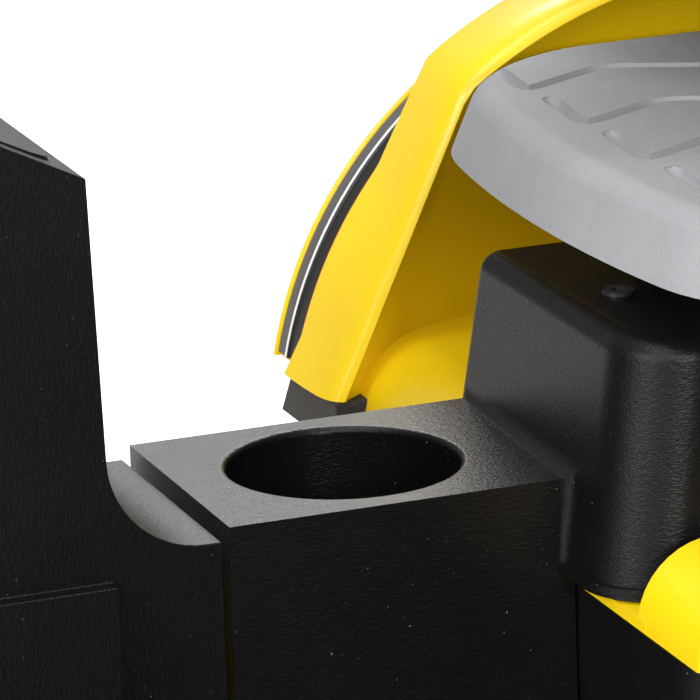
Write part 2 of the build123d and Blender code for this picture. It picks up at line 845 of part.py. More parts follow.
with BuildPart() as motor_controller:
    with BuildSketch(Plane.XY.offset(plate_top)):
        with Locations((900, -245)):
            RectangleRounded(150, 170, 8)
    extrude(amount=30)
    with BuildSketch(Plane.XY.offset(plate_top + 30)):
        with Locations((900, -245)):
            with GridLocations(0, 16, 1, 10):
                Rectangle(140, 6)
    extrude(amount=40)
motor_controller.part.label = "motor_controller"
export_step(motor_controller.part, "parts/motor_controller.step")

# ---------------------------------------------------------------- casters
mount_low_z = 182.5
mount_r = 34
caster_top_z = 182
caster_plate_t = 10
caster_leg_y = 28
caster_leg_t = 7
caster_axle_r = 8

with BuildPart() as caster_mounts:
    for side in ("left", "right"):
        with BuildSketch(Plane.XY.offset(mount_low_z)):
            with Locations((caster_x, mirrored(side) * caster_y)):
                Circle(mount_r)
        extrude(amount=plate_z - 10 - mount_low_z)
        with BuildSketch(Plane.XY.offset(plate_z - 10)):
            with Locations((caster_x, mirrored(side) * caster_y)):
                RectangleRounded(120, 120, 12)
        extrude(amount=10)
caster_mounts.part.label = "caster_mounts"
export_step(caster_mounts.part, "parts/caster_mounts.step")

axle_x = caster_x - caster_trail

for side in ("left", "right"):
    fork_y = mirrored(side) * caster_y
    with BuildPart() as caster_fork:
        with BuildSketch(Plane.XY.offset(caster_top_z - caster_plate_t)):
            with Locations((caster_x, fork_y)):
                Circle(40)
        extrude(amount=caster_plate_t)
        for leg_y in (fork_y - caster_leg_y - caster_leg_t, fork_y + caster_leg_y):
            with BuildSketch(cross_plane(leg_y)):
                with BuildLine():
                    Polyline(
                        (-caster_x + 34, caster_top_z - caster_plate_t),
                        (-caster_x - 22, caster_top_z - caster_plate_t),
                        (-axle_x - 18, caster_r),
                        (-axle_x, caster_r - 18),
                        (-axle_x + 18, caster_r),
                        close=True,
                    )
                make_face()
            extrude(amount=caster_leg_t)
        with BuildSketch(cross_plane(fork_y - caster_leg_y - caster_leg_t - 4)):
            with Locations((-axle_x, caster_r)):
                Circle(caster_axle_r)
        extrude(amount=2 * (caster_leg_y + caster_leg_t + 4))
    caster_fork.part.label = f"caster_fork_{side}"
    export_step(caster_fork.part, f"parts/caster_fork_{side}.step")

    with BuildPart() as caster_wheel:
        with BuildSketch(cross_plane(fork_y - 25)):
            with Locations((-axle_x, caster_r)):
                Circle(caster_r)
                Circle(caster_axle_r + running_gap, mode=Mode.SUBTRACT)
        extrude(amount=50)
        fillet(caster_wheel.edges().filter_by(GeomType.CIRCLE).sort_by(SortBy.RADIUS)[-2:], 6)
    caster_wheel.part.label = f"caster_wheel_{side}"
    export_step(caster_wheel.part, f"parts/caster_wheel_{side}.step")

# ---------------------------------------------------------------- steering head
head_x = 790
head_z = 1098
head_tilt = math.radians(30)
column_foot_z = 950
column_foot_top_z = 1017
column_foot_gap = 0.5
column_top = -28
column_neck = -68
shaft_r = 16
shaft_low = -60
display_post_x = 962
head_axis = (-math.sin(head_tilt), 0, math.cos(head_tilt))
hub_w = 132
hub_d = 96
hub_low = -24
hub_high = 26
throttle_y = -30
throttle_h = 8
throttle_r = 7
button_r = 9
button_high = 30
button_low = 15
lift_button_x = 38


def head_plane(height):
    """Return the plane across the steering axis, height above the head's centre."""
    origin = (head_x + head_axis[0] * height, 0, head_z + head_axis[2] * height)
    return Plane(origin=origin, x_dir=(0, 1, 0), z_dir=head_axis)


with BuildPart() as steering_column:
    with BuildSketch(head_plane(column_top)):
        RectangleRounded(96, 80, 22)
    extrude(amount=column_neck - column_top)
    with BuildSketch(head_plane(column_neck)):
        RectangleRounded(96, 80, 22)
    with BuildSketch(Plane(origin=(968, 0, 1012), x_dir=(0, 1, 0), z_dir=head_axis)):
        RectangleRounded(104, 84, 24)
    loft()
    with BuildSketch(Plane.XY.offset(column_foot_z)):
        with Locations((982, 0)):
            RectangleRounded(76, 110, 18)
    extrude(amount=column_foot_top_z - column_foot_z)
    with BuildSketch(cowl_plane):
        with BuildLine():
            dome_section(-column_foot_gap, cowl_back_x)
        make_face()
    revolve(axis=cowl_axis, mode=Mode.SUBTRACT)
    with BuildSketch(head_plane(shaft_low - 2)):
        Circle(shaft_r + running_gap)
    extrude(amount=column_top - shaft_low + 2, mode=Mode.SUBTRACT)
    with BuildSketch(Plane.XY.offset(1010)):
        with Locations((display_post_x, 0)):
            RectangleRounded(14, 60, 5)
    extrude(amount=130)
steering_column.part.label = "steering_column"
export_step(steering_column.part, "parts/steering_column.step")

with BuildPart() as display:
    with BuildSketch(Plane(origin=(display_post_x - 22, 0, 1168), x_dir=(0, 1, 0), z_dir=(-0.94, 0, 0.342))):
        RectangleRounded(170, 88, 12)
    extrude(amount=-18)
display.part.label = "display"
export_step(display.part, "parts/display.step")


def head_point(along, height):
    """Return the X and Z of a point of the head, along its slope and height above its centre."""
    x = head_x + head_axis[0] * height - head_axis[2] * along
    z = head_z + head_axis[2] * height + head_axis[0] * along
    return x, z


throttle_x, throttle_z = head_point(throttle_y, throttle_h)

with BuildPart() as steering_handle:
    with BuildSketch(head_plane(hub_low)):
        RectangleRounded(hub_w, hub_d, 22)
    extrude(amount=hub_high - hub_low)
    fillet(steering_handle.faces().sort_by(Axis.Z)[-1].edges(), 5)
    with BuildSketch(head_plane(shaft_low)):
        Circle(shaft_r)
    extrude(amount=hub_low - shaft_low)
    with BuildSketch(head_plane(-13)):
        Ellipse(170, 112)
        Ellipse(144, 86, mode=Mode.SUBTRACT)
        with Locations((0, 4)):
            Rectangle(300, 24)
    extrude(amount=24)
    with BuildSketch(cross_plane(-hub_w / 2 - 1)):
        with Locations((-throttle_x, throttle_z)):
            Circle(throttle_r + running_gap)
    extrude(amount=hub_w + 2, mode=Mode.SUBTRACT)
    with BuildSketch(head_plane(button_low - 4)):
        with Locations((0, -2), (-lift_button_x, 22), (lift_button_x, 22)):
            Circle(button_r + body_gap)
    extrude(amount=button_high - button_low + 4, mode=Mode.SUBTRACT)
steering_handle.part.label = "steering_handle"
export_step(steering_handle.part, "parts/steering_handle.step")

grip_inner_x = 120
with BuildPart() as handle_grips:
    for height in (-16, 11):
        with BuildSketch(head_plane(height)):
            Ellipse(173, 115)
            Ellipse(141, 83, mode=Mode.SUBTRACT)
            Rectangle(2 * grip_inner_x, 260, mode=Mode.SUBTRACT)
        extrude(amount=3)
    with BuildSketch(head_plane(-13)):
        Ellipse(173, 115)
        Ellipse(170, 112, mode=Mode.SUBTRACT)
        Rectangle(2 * grip_inner_x, 260, mode=Mode.SUBTRACT)
    extrude(amount=24)
handle_grips.part.label = "handle_grips"
export_step(handle_grips.part, "parts/handle_grips.step")

throttle_half = 98
paddle_inner = 70
with BuildPart() as throttle:
    with BuildSketch(cross_plane(-throttle_half)):
        with Locations((-throttle_x, throttle_z)):
            Circle(throttle_r)
    extrude(amount=2 * throttle_half)
    with BuildSketch(head_plane(throttle_h - 4)):
        with Locations((-(paddle_inner + throttle_half) / 2, throttle_y), ((paddle_inner + throttle_half) / 2, throttle_y)):
            RectangleRounded(throttle_half - paddle_inner, 26, 6)
    extrude(amount=9)
throttle.part.label = "throttle"
export_step(throttle.part, "parts/throttle.step")

for node, place in (("horn_button", (0, -2)), ("lift_button", (-lift_button_x, 22)), ("lower_button", (lift_button_x, 22))):
    with BuildPart() as button:
        with BuildSketch(head_plane(button_low)):
            with Locations(place):
                Circle(button_r)
        extrude(amount=button_high - button_low)
        fillet(button.faces().sort_by(Axis.Z)[-1].edges(), 1.5)
    button.part.label = node
    export_step(button.part, f"parts/{node}.step")

# ---------------------------------------------------------------- switches on the right column
switch_normal = (0, math.sin(slope), math.cos(slope))


def switch_plane(x, height):
    """Return the plane above the right column's sloping top."""
    mid_y = -(column_inner_y + column_outer_y) / 2
    mid_z = (column_top_z + column_crest_z) / 2
    origin = (x, mid_y + switch_normal[1] * height, mid_z + switch_normal[2] * height)
    return Plane(origin=origin, x_dir=(1, 0, 0), z_dir=switch_normal)


with BuildPart() as emergency_stop:
    with BuildSketch(switch_plane(735, -17)):
        Circle(12)
    extrude(amount=17)
    with BuildSketch(switch_plane(735, 8)):
        Circle(20)
    extrude(amount=14)
    with BuildSketch(switch_plane(735, 0)):
        Circle(12)
    extrude(amount=8)
    fillet(emergency_stop.edges().filter_by(GeomType.CIRCLE).group_by(Axis.Z)[-1], 4)
emergency_stop.part.label = "emergency_stop"
export_step(emergency_stop.part, "parts/emergency_stop.step")

with BuildPart() as key:
    with BuildSketch(switch_plane(790, -16)):
        Circle(5)
    extrude(amount=24)
    with BuildSketch(switch_plane(790, 8)):
        RectangleRounded(22, 5, 2)
    extrude(amount=22)
key.part.label = "key"
export_step(key.part, "parts/key.step")

# ---------------------------------------------------------------- backrest
with BuildPart() as backrest_pad:
    with BuildSketch(section_plane(platform_back_x)):
        with Locations((0, 715)):
            RectangleRounded(560, 230, 50)
    extrude(amount=46)
    fillet(backrest_pad.faces().sort_by(Axis.X)[-1].edges(), 16)
backrest_pad.part.label = "backrest_pad"
export_step(backrest_pad.part, "parts/backrest_pad.step")

# ---------------------------------------------------------------- lifting battery box
case_back_x = -235
case_front_x = 20
case_half_y = 390
case_top_z = 690
case_wall = 5
case_low_z = fork_top_z + 2
case_mid_x = (case_back_x + case_front_x) / 2
shoe_x = 86
cover_t = 34
cover_gap = 2
cover_low_z = case_top_z + cover_gap
hinge_x = case_back_x - 12
hinge_z = cover_low_z + 6
hinge_pin_r = 4
knuckle_r = 6.5
knuckle_w = 50
case_knuckle_y = 180
cover_knuckle_y = 125

with BuildPart() as battery_case:
    with BuildSketch(Plane.XY.offset(case_low_z)):
        with Locations((case_mid_x, 0)):
            RectangleRounded(case_front_x - case_back_x, 2 * case_half_y, 12)
    extrude(amount=case_top_z - case_low_z)
    with BuildSketch(Plane.XY.offset(case_low_z + case_wall)):
        with Locations((case_mid_x, 0)):
            RectangleRounded(case_front_x - case_back_x - 2 * case_wall, 2 * (case_half_y - case_wall), 8)
    extrude(amount=case_top_z - case_low_z, mode=Mode.SUBTRACT)
    for hinge_y in (-case_knuckle_y, case_knuckle_y):
        with BuildSketch(cross_plane(hinge_y - knuckle_w / 2)):
            with BuildLine():
                Polyline(
                    (-case_back_x, case_top_z - 34),
                    (-case_back_x, case_top_z - 2),
                    (-hinge_x, case_top_z - 2),
                    (-hinge_x, hinge_z),
                    (-hinge_x + knuckle_r, hinge_z),
                    (-hinge_x + knuckle_r, case_top_z - 14),
                    close=True,
                )
            make_face()
            with Locations((-hinge_x, hinge_z)):
                Circle(knuckle_r)
                Circle(hinge_pin_r + running_gap, mode=Mode.SUBTRACT)
        extrude(amount=knuckle_w)
    for low_z in (150, 470):
        with BuildSketch(Plane.XY.offset(low_z)):
            with Locations(((case_front_x + shoe_x) / 2, -268), ((case_front_x + shoe_x) / 2, 268)):
                Rectangle(shoe_x - case_front_x, 20)
        extrude(amount=90)
    with BuildSketch(Plane.XY.offset(rod_top_z)):
        with Locations(((case_front_x + shoe_x - 4) / 2, 0)):
            Rectangle(shoe_x - 4 - case_front_x, 70)
    extrude(amount=20)
battery_case.part.label = "battery_case"
export_step(battery_case.part, "parts/battery_case.step")

battery_top_z = 640
with BuildPart() as battery:
    with BuildSketch(Plane.XY.offset(case_low_z + case_wall)):
        with Locations((case_mid_x, 0)):
            Rectangle(235, 740)
    extrude(amount=battery_top_z - case_low_z - case_wall)
    with BuildSketch(Plane.XY.offset(battery_top_z)):
        with Locations((case_mid_x, 0)):
            with GridLocations(110, 180, 2, 4):
                RectangleRounded(90, 150, 8)
    extrude(amount=12)
battery.part.label = "battery"
export_step(battery.part, "parts/battery.step")

with BuildPart() as battery_connector:
    with BuildSketch(Plane.XY.offset(battery_top_z)):
        with Locations((case_mid_x, 377.5)):
            Rectangle(120, 13)
    extrude(amount=34)
battery_connector.part.label = "battery_connector"
export_step(battery_connector.part, "parts/battery_connector.step")

with BuildPart() as battery_cover:
    with BuildSketch(Plane.XY.offset(cover_low_z)):
        with Locations((case_mid_x, 0)):
            RectangleRounded(case_front_x - case_back_x + 8, 2 * case_half_y + 8, 14)
    extrude(amount=cover_t, taper=6)
    fillet(battery_cover.faces().sort_by(Axis.Z)[-1].edges(), 14)
    for flip in (-1, 1):
        with BuildSketch(cross_plane(flip * cover_knuckle_y - knuckle_w / 2)):
            with Locations((-hinge_x, hinge_z)):
                Circle(knuckle_r)
            with Locations((-(hinge_x + case_back_x) / 2, hinge_z - 2)):
                Rectangle(case_back_x - hinge_x, 8)
        extrude(amount=knuckle_w)
        pin_y = flip * (case_knuckle_y + cover_knuckle_y) / 2
        with BuildSketch(cross_plane(pin_y - knuckle_w - 5)):
            with Locations((-hinge_x, hinge_z)):
                Circle(hinge_pin_r)
        extrude(amount=2 * (knuckle_w + 5))
battery_cover.part.label = "battery_cover"
export_step(battery_cover.part, "parts/battery_cover.step")

# ---------------------------------------------------------------- forks, load arms and load wheels
fork_plate_t = 8
fork_low_z = 27
fork_root_x = 10
heel_back_x = case_back_x - 3
load_r = 41
load_w = 74
arm_length = 170
arm_rest = math.radians(5)
pivot_x = -1100
pivot_z = load_r + arm_length * math.sin(arm_rest)
load_x = pivot_x - arm_length * math.cos(arm_rest)
pivot_r = 9
load_axle_r = 8
arm_inner = 41
arm_t = 8
window_len = 104

for side in ("left", "right"):
    fork_y = mirrored(side) * fork_centre_y
    with BuildPart() as fork:
        with BuildSketch(cross_plane(fork_y - fork_width / 2)):
            with BuildLine():
                Polyline(
                    (-fork_root_x, fork_low_z),
                    (-fork_root_x, case_low_z),
                    (-heel_back_x, case_low_z),
                    (-heel_back_x, fork_top_z),
                    (-tail_x - 60, fork_top_z),
                    (-tail_x, fork_low_z + 26),
                    (-tail_x, fork_low_z + 8),
                    (-tail_x - 40, fork_low_z),
                    close=True,
                )
            make_face()
        extrude(amount=fork_width)
        with BuildSketch(Plane.XY.offset(fork_low_z - 1)):
            with Locations(((tail_x + 60 + fork_root_x) / 2, fork_y)):
                Rectangle(fork_root_x - tail_x - 60, fork_width - 2 * fork_plate_t)
        extrude(amount=fork_top_z - fork_plate_t - fork_low_z + 1, mode=Mode.SUBTRACT)
        with BuildSketch(Plane.XY.offset(fork_low_z)):
            with Locations((load_x, fork_y)):
                Rectangle(window_len, load_w + 10)
        extrude(amount=fork_top_z, mode=Mode.SUBTRACT)
        with BuildSketch(cross_plane(fork_y - fork_width / 2 - 1)):
            with Locations((-pivot_x, pivot_z)):
                Circle(pivot_r + running_gap)
        extrude(amount=fork_width + 2, mode=Mode.SUBTRACT)
    fork.part.label = f"fork_{side}"
    export_step(fork.part, f"parts/fork_{side}.step")

    with BuildPart() as load_arm:
        for inner_y in (fork_y - arm_inner - arm_t, fork_y + arm_inner):
            with BuildSketch(cross_plane(inner_y)):
                with Locations((-pivot_x, pivot_z)):
                    Circle(17)
                with Locations((-load_x, load_r)):
                    Circle(15)
                make_hull()
            extrude(amount=arm_t)
        with BuildSketch(cross_plane(fork_y - arm_inner)):
            with Locations((-pivot_x, pivot_z)):
                Circle(15)
        extrude(amount=2 * arm_inner)
        with BuildSketch(cross_plane(fork_y - fork_width / 2 + 1)):
            with Locations((-pivot_x, pivot_z)):
                Circle(pivot_r)
        extrude(amount=fork_width - 2)
        with BuildSketch(cross_plane(fork_y - arm_inner - arm_t)):
            with Locations((-load_x, load_r)):
                Circle(load_axle_r)
        extrude(amount=2 * (arm_inner + arm_t))
    load_arm.part.label = f"load_arm_{side}"
    export_step(load_arm.part, f"parts/load_arm_{side}.step")

    with BuildPart() as load_wheel:
        with BuildSketch(cross_plane(fork_y - load_w / 2)):
            with Locations((-load_x, load_r)):
                Circle(load_r)
                Circle(load_axle_r + running_gap, mode=Mode.SUBTRACT)
        extrude(amount=load_w)
        fillet(load_wheel.edges().filter_by(GeomType.CIRCLE).sort_by(SortBy.RADIUS)[-2:], 4)
    load_wheel.part.label = f"load_wheel_{side}"
    export_step(load_wheel.part, f"parts/load_wheel_{side}.step")
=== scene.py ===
import bpy
import math
from mathutils import Matrix, Vector


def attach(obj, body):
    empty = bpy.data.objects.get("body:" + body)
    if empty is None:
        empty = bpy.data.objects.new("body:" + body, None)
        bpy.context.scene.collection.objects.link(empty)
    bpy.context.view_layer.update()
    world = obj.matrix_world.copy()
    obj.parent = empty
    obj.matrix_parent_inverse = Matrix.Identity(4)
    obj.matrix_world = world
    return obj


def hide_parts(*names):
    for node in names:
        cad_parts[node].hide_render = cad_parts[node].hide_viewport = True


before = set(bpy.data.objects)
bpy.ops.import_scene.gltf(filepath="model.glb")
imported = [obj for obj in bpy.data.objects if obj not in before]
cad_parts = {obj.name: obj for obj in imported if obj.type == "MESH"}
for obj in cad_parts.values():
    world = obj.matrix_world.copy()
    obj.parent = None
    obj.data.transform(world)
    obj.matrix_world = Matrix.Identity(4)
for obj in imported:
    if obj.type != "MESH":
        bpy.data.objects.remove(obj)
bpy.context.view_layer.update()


# ---- Studio floor, lamps and camera
# The truck stands on a pale matt floor. Soft white panels hang on its left, above it and behind
# the driver, and two more wash the floor so that it stays white.
class Wire:
    """One output of a finish, so that its sums are written as plain arithmetic."""

    def __init__(self, finish, socket):
        self.finish = finish
        self.socket = socket

    def maths(self, operation, first, second):
        return self.finish.node("ShaderNodeMath", {"operation": operation}, {0: first, 1: second})

    def __add__(self, other):
        return self.maths("ADD", self, other)

    __radd__ = __add__

    def __sub__(self, other):
        return self.maths("SUBTRACT", self, other)

    def __rsub__(self, other):
        return self.maths("SUBTRACT", other, self)

    def __mul__(self, other):
        return self.maths("MULTIPLY", self, other)

    __rmul__ = __mul__


class Finish:
    """A surface finish: a material, and one way to add any node to it."""

    def __init__(self, name, **shader):
        self.material = bpy.data.materials.new(name)
        self.material.use_nodes = True
        self.tree = self.material.node_tree
        self.shader = self.tree.nodes["Principled BSDF"]
        self.set(**shader)

    def feed(self, socket, value):
        if isinstance(value, Wire):
            self.tree.links.new(value.socket, socket)
        else:
            socket.default_value = value

    def node(self, kind, settings=None, sockets=None, out=0):
        """Add a node with its settings, then the values or links of its sockets."""
        made = self.tree.nodes.new(kind)
        for setting, value in (settings or {}).items():
            if setting == "stops":
                made.color_ramp.interpolation = "CONSTANT"
                while len(made.color_ramp.elements) < len(value):
                    made.color_ramp.elements.new(0.5)
                for element, (place, colour) in zip(made.color_ramp.elements, value):
                    element.position = place
                    element.color = (*colour, 1)
            else:
                setattr(made, setting, value)
        for socket, value in (sockets or {}).items():
            self.feed(made.inputs[socket], value)
        return Wire(self, made.outputs[out])

    def place(self, stretch=(1, 1, 1)):
        """The point on the piece, stretched along each axis."""
        where = self.node("ShaderNodeTexCoord", out="Object")
        return self.node("ShaderNodeMapping", {}, {"Vector": where, "Scale": stretch})

    def noise(self, scale, detail=2, stretch=(1, 1, 1)):
        where = self.place(stretch)
        return self.node("ShaderNodeTexNoise", {}, {"Vector": where, "Scale": scale, "Detail": detail})

    def step(self, value, low, high):
        """Turn value into a mask, 0 below low and 1 above high."""
        span = {"Value": value, "From Min": low, "From Max": high}
        return self.node("ShaderNodeMapRange", {"clamp": True}, span)

    def blend(self, mask, first, second):
        sockets = {0: mask, 6: first, 7: second}
        return self.node("ShaderNodeMix", {"data_type": "RGBA"}, sockets, out=2)

    def set(self, **shader):
        for socket, value in shader.items():
            self.feed(self.shader.inputs[socket.replace("_", " ")], value)

    def relief(self, height, depth):
        """Raise the surface by height, which runs from 0 to 1, to depth in metres."""
        bump = self.node("ShaderNodeBump", {}, {"Height": height, "Distance": depth, "Strength": 1.0})
        self.feed(self.shader.inputs["Normal"], bump)


floor_finish = Finish("floor_board", Roughness=0.75)
floor_mottle = floor_finish.noise(1.5, 3)
floor_white = floor_finish.blend(floor_mottle, (0.86, 0.86, 0.86, 1), (0.90, 0.90, 0.90, 1))
floor_finish.set(Base_Color=floor_white)
bpy.ops.object.select_all(action="DESELECT")
bpy.ops.mesh.primitive_plane_add(size=40, location=(0, 0, 0))
floor = bpy.context.object
floor.name = "floor"
floor.data.materials.append(floor_finish.material)

world = bpy.data.worlds.new("studio")
bpy.context.scene.world = world
world.use_nodes = True
background = world.node_tree.nodes["Background"]
background.inputs["Color"].default_value = (1.0, 0.99, 0.97, 1)
background.inputs["Strength"].default_value = 0.32
bpy.context.scene.view_settings.view_transform = "Standard"


def lamp(name, place, target, size, watts):
    """Hang a square soft panel at place, turned to target."""
    data = bpy.data.lights.new(name, "AREA")
    data.shape = "SQUARE"
    data.size = size
    data.energy = watts
    panel = bpy.data.objects.new(name, data)
    panel.location = place
    panel.rotation_euler = (Vector(target) - Vector(place)).to_track_quat("-Z", "Y").to_euler()
    bpy.context.scene.collection.objects.link(panel)


console_middle = (0.75, 0.1, 0.9)
lamp("side_panel", (-0.6, 3.2, 2.3), console_middle, 1.8, 84)
lamp("top_panel", (0.3, 0.6, 3.6), console_middle, 2.2, 62)
lamp("edge_panel", (-2.6, 0.3, 1.9), console_middle, 0.55, 44)
lamp("floor_wash", (4.6, -1.8, 3.4), (4.6, -1.8, 0.0), 3.4, 330)
lamp("rear_wash", (-4.0, 2.5, 3.6), (-3.0, 2.0, 0.0), 3.0, 160)

lens = bpy.data.cameras.new("camera")
lens.lens = 334.3
lens.sensor_width = 36
camera = bpy.data.objects.new("camera", lens)
bpy.context.scene.collection.objects.link(camera)
camera_right = Vector((-0.35468, -0.93445, -0.03164))
camera_up = Vector((0.25365, -0.12873, 0.95870))
camera_back = camera_right.cross(camera_up)
turned = Matrix((camera_right, camera_up, camera_back)).transposed().to_4x4()
camera.matrix_world = Matrix.Translation((-1.35507, 0.99777, 1.56113)) @ turned
bpy.context.scene.camera = camera


# ---- Console moulding with the cup wells
# One black plastic moulding with a fine grain: a raised pedestal in the middle with a low box on
# each side. It is clipped down over the steel console and holds one cup well in each box.
def add(primitive, name, **sizes):
    """Add one primitive by itself and name it."""
    bpy.ops.object.select_all(action="DESELECT")
    primitive(**sizes)
    piece = bpy.context.object
    piece.name = name
    piece.data.name = name
    bpy.ops.object.transform_apply(location=True, rotation=True, scale=True)
    return piece


def block(name, low, high):
    """Add a box from its lowest to its highest corner."""
    low, high = Vector(low), Vector(high)
    return add(bpy.ops.mesh.primitive_cube_add, name, size=1, location=(low + high) / 2, scale=high - low)


def pick(piece, kind, rule):
    """Open piece for editing with only the corners, edges or faces chosen that the rule names."""
    bpy.ops.object.select_all(action="DESELECT")
    bpy.context.view_layer.objects.active = piece
    piece.select_set(True)
    bpy.ops.object.mode_set(mode="EDIT")
    bpy.ops.mesh.select_mode(type=kind)
    bpy.ops.mesh.select_all(action="DESELECT")
    bpy.ops.object.mode_set(mode="OBJECT")
    mesh = piece.data
    if kind == "VERT":
        for corner in mesh.vertices:
            corner.select = bool(rule(corner.co))
    elif kind == "EDGE":
        for edge in mesh.edges:
            first, second = (mesh.vertices[i].co for i in edge.vertices)
            edge.select = bool(rule(first, second))
    else:
        for face in mesh.polygons:
            face.select = bool(rule(face.center, face.normal))
    bpy.ops.object.mode_set(mode="EDIT")


def shut():
    bpy.ops.object.mode_set(mode="OBJECT")


def whole(centre, normal):
    return True


def score(piece, point, normal, **fill):
    """Cut every face of piece along a plane; fill settings remove and close one side."""
    pick(piece, "FACE", whole)
    bpy.ops.mesh.bisect(plane_co=point, plane_no=normal, **fill)
    shut()


def pull(piece, rule, step):
    """Draw the faces that the rule names out by step, with new walls behind them."""
    pick(piece, "FACE", rule)
    bpy.ops.mesh.extrude_region_move(TRANSFORM_OT_translate={"value": step})
    shut()


def unite_flats(piece, rule=whole):
    """Drop the edges that lie within a flat face."""
    pick(piece, "FACE", rule)
    bpy.ops.mesh.dissolve_limited(angle_limit=math.radians(0.5))
    shut()


def taper(piece, x_share, y_share, centre):
    """Draw in the top face of piece towards centre."""
    pick(piece, "FACE", lambda middle, normal: normal.z > 0.9)
    bpy.ops.transform.resize(value=(x_share, y_share, 1), center_override=centre)
    shut()


def is_upright(a, b, least=0.05):
    return abs(a.z - b.z) > least


def round_edges(piece, rule, width, steps):
    pick(piece, "EDGE", rule)
    bpy.ops.mesh.bevel(offset=width, segments=steps, affect="EDGES")
    shut()


def apply(piece, kind, **settings):
    """Add a modifier with its settings and make it part of the mesh."""
    bpy.context.view_layer.objects.active = piece
    modifier = piece.modifiers.new(kind, kind)
    for setting, value in settings.items():
        setattr(modifier, setting, value)
    bpy.ops.object.modifier_apply(modifier=modifier.name)


def combine(piece, tool, how, folds=False):
    """Join tool to piece or cut it away. With folds, either shape may cross itself."""
    apply(piece, "BOOLEAN", object=tool, operation=how, solver="EXACT", use_self=folds)
    bpy.data.objects.remove(tool)


def flip_copy(piece, name):
    """Copy a left piece to the right side, with its faces turned outward again."""
    bpy.ops.object.select_all(action="DESELECT")
    piece.select_set(True)
    bpy.context.view_layer.objects.active = piece
    bpy.ops.object.duplicate()
    other = bpy.context.object
    other.name = name
    other.data.name = name
    bpy.ops.object.mode_set(mode="EDIT")
    bpy.ops.mesh.select_all(action="SELECT")
    bpy.ops.transform.mirror(constraint_axis=(False, True, False), center_override=(0, 0, 0))
    bpy.ops.mesh.normals_make_consistent(inside=False)
    shut()
    return other


def smooth(piece, degrees=32):
    """Shade the piece smooth up to that angle, with flat faces kept flat."""
    bpy.ops.object.select_all(action="DESELECT")
    piece.select_set(True)
    bpy.context.view_layer.objects.active = piece
    bpy.ops.object.shade_smooth_by_angle(angle=math.radians(degrees))
    apply(piece, "WEIGHTED_NORMAL", keep_sharp=True, weight=80)


def dress(piece, finish, slot, body, *nodes):
    """Give the piece its finish, its place on a body and the nodes it stands for."""
    piece.data.materials.clear()
    piece.data.materials.append(finish.material)
    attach(piece, body)
    if nodes:
        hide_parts(*nodes)


def moulded_black(name, grain_stretch):
    """Black plastic with a drawn grain, a little dust and a half gloss."""
    finish = Finish(name, Specular_IOR_Level=0.21)
    grain = finish.noise(1500, 3, grain_stretch)
    pores = finish.noise(700, 2)
    cloud = finish.noise(14, 4)
    dust = finish.step(finish.noise(700, 1), 0.79, 0.82)
    base = finish.blend(cloud, (0.0015, 0.0015, 0.0018, 1), (0.0045, 0.0045, 0.005, 1))
    finish.set(
        Base_Color=finish.blend(dust, base, (0.12, 0.115, 0.10, 1)),
        Roughness=0.23 + grain * 0.14 + cloud * 0.08 + dust * 0.4,
    )
    finish.relief(grain * 0.6 + pores * 0.4, 0.00030)
    return finish


black_gloss = moulded_black("black_moulding_grained", (1.0, 0.22, 1.0))

box_top = 0.860
box_back = 0.691
box_front = 0.799
box_parting = 0.8252
pedestal_top = 0.915

pedestal = block("console_moulding", (0.645, -0.1647, 0.8245), (0.806, 0.1647, pedestal_top))
taper(pedestal, 0.93, 0.9077, (0.788, 0, pedestal_top))
round_edges(pedestal, lambda a, b: is_upright(a, b) and max(a.x, b.x) < 0.70, 0.027, 9)
round_edges(pedestal, lambda a, b: is_upright(a, b) and min(a.x, b.x) > 0.78, 0.007, 5)
round_edges(pedestal, lambda a, b: min(a.z, b.z) > pedestal_top - 0.0005, 0.007, 5)

lip = block("pedestal_lip", (0.6438, -0.1660, 0.8262), (0.700, 0.1660, 0.8292))
round_edges(lip, lambda a, b: is_upright(a, b, 0.002) and max(a.x, b.x) < 0.66, 0.028, 9)
combine(pedestal, lip, "UNION", folds=True)

cup_box = block("cup_box", (box_back, 0.160, 0.742), (box_front, 0.290, box_top))
score(cup_box, (0, 0, box_parting), (0, 0, 1))
pull(cup_box, lambda centre, normal: normal.y < -0.9 and centre.z > box_parting, (0, -0.02, 0))
combine(pedestal, flip_copy(cup_box, "cup_box_right"), "UNION", folds=True)
combine(pedestal, cup_box, "UNION", folds=True)

crease_y = 0.1585


def is_crease(a, b):
    """The hollow corner between the pedestal and a box: along its top and down its back."""
    level = max(abs(a.z - box_top), abs(b.z - box_top)) < 0.0004
    beside = max(abs(abs(p.y) - crease_y) for p in (a, b)) < 0.0012
    upright = min(max(abs(a.x - x), abs(b.x - x)) for x in (box_back, box_front)) < 0.0004
    near = all(0.157 < abs(p.y) < 0.1655 and p.z > 0.8288 for p in (a, b))
    along_top = level and beside and abs(a.x - b.x) > 0.05
    return along_top or (upright and near and is_upright(a, b, 0.01))


def break_edges(piece, width, degrees):
    """Round every edge of piece that turns by more than that angle."""
    sharp = math.radians(degrees)
    apply(piece, "BEVEL", width=width, segments=4, limit_method="ANGLE", angle_limit=sharp)


unite_flats(pedestal)
round_edges(pedestal, is_crease, 0.0055, 4)
break_edges(pedestal, 0.0032, 50)

cup_x = 0.745
cup_y = 0.227
cup_r = 0.0425
for side in (-1, 1):
    well = add(
        bpy.ops.mesh.primitive_cylinder_add, "well",
        vertices=96, radius=cup_r, depth=0.18, location=(cup_x, side * cup_y, box_top),
    )
    round_edges(well, lambda a, b: max(a.z, b.z) < box_top - 0.08, 0.006, 4)
    combine(pedestal, well, "DIFFERENCE")


def is_rim(a, b):
    """The edge of a cup well at the top of its box."""
    level = min(a.z, b.z) > box_top - 0.0003
    reaches = [math.hypot(p.x - cup_x, abs(p.y) - cup_y) for p in (a, b)]
    return level and all(abs(reach - cup_r) < 0.0002 for reach in reaches)


